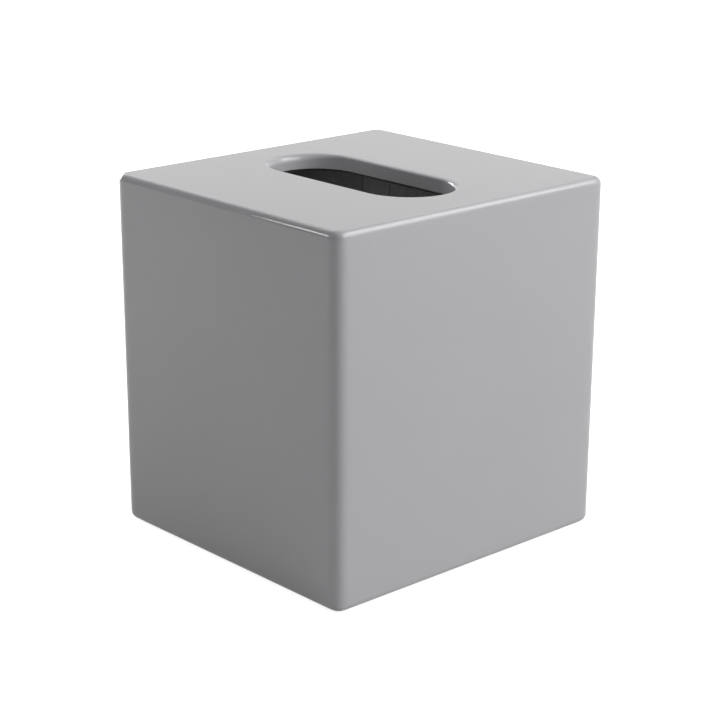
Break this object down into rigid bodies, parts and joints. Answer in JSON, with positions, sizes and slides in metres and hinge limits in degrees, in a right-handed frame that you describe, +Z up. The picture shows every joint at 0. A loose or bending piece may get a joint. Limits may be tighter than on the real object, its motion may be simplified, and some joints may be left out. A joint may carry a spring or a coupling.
{
  "type": "tissue box cover",
  "caption": "Upright lacquered tissue box cover with a round-ended slot in its top, open below so that it drops over a carton of tissues.",
  "frame": {"origin": "bottom centre of the cover, on the surface that its foot pads stand on", "axes": "+Z up, +X to the right along the slot, +Y to the back; the front wall faces -Y"},
  "size_m": [0.13, 0.139, 0.144],
  "materials": {
    "grey_lacquer": "thick gloss lacquer over board, polished",
    "spline_ply": "raw thin plywood",
    "black_stained_wood": "black stain, matt",
    "black_felt": "matt black felt",
    "pad_felt": "dense black felt"
  },
  "bodies": {
    "root": {"top_panel": "grey_lacquer", "front_panel": "grey_lacquer", "back_panel": "grey_lacquer", "left_panel": "grey_lacquer", "right_panel": "grey_lacquer", "front_top_spline": "spline_ply", "back_top_spline": "spline_ply", "left_top_spline": "spline_ply", "right_top_spline": "spline_ply", "front_left_block": "black_stained_wood", "front_right_block": "black_stained_wood", "back_left_block": "black_stained_wood", "back_right_block": "black_stained_wood", "top_lining": "black_felt", "front_lining": "black_felt", "back_lining": "black_felt", "left_lining": "black_felt", "right_lining": "black_felt", "front_left_pad": "pad_felt", "front_right_pad": "pad_felt", "back_left_pad": "pad_felt", "back_right_pad": "pad_felt"}
  },
  "joints": []
}
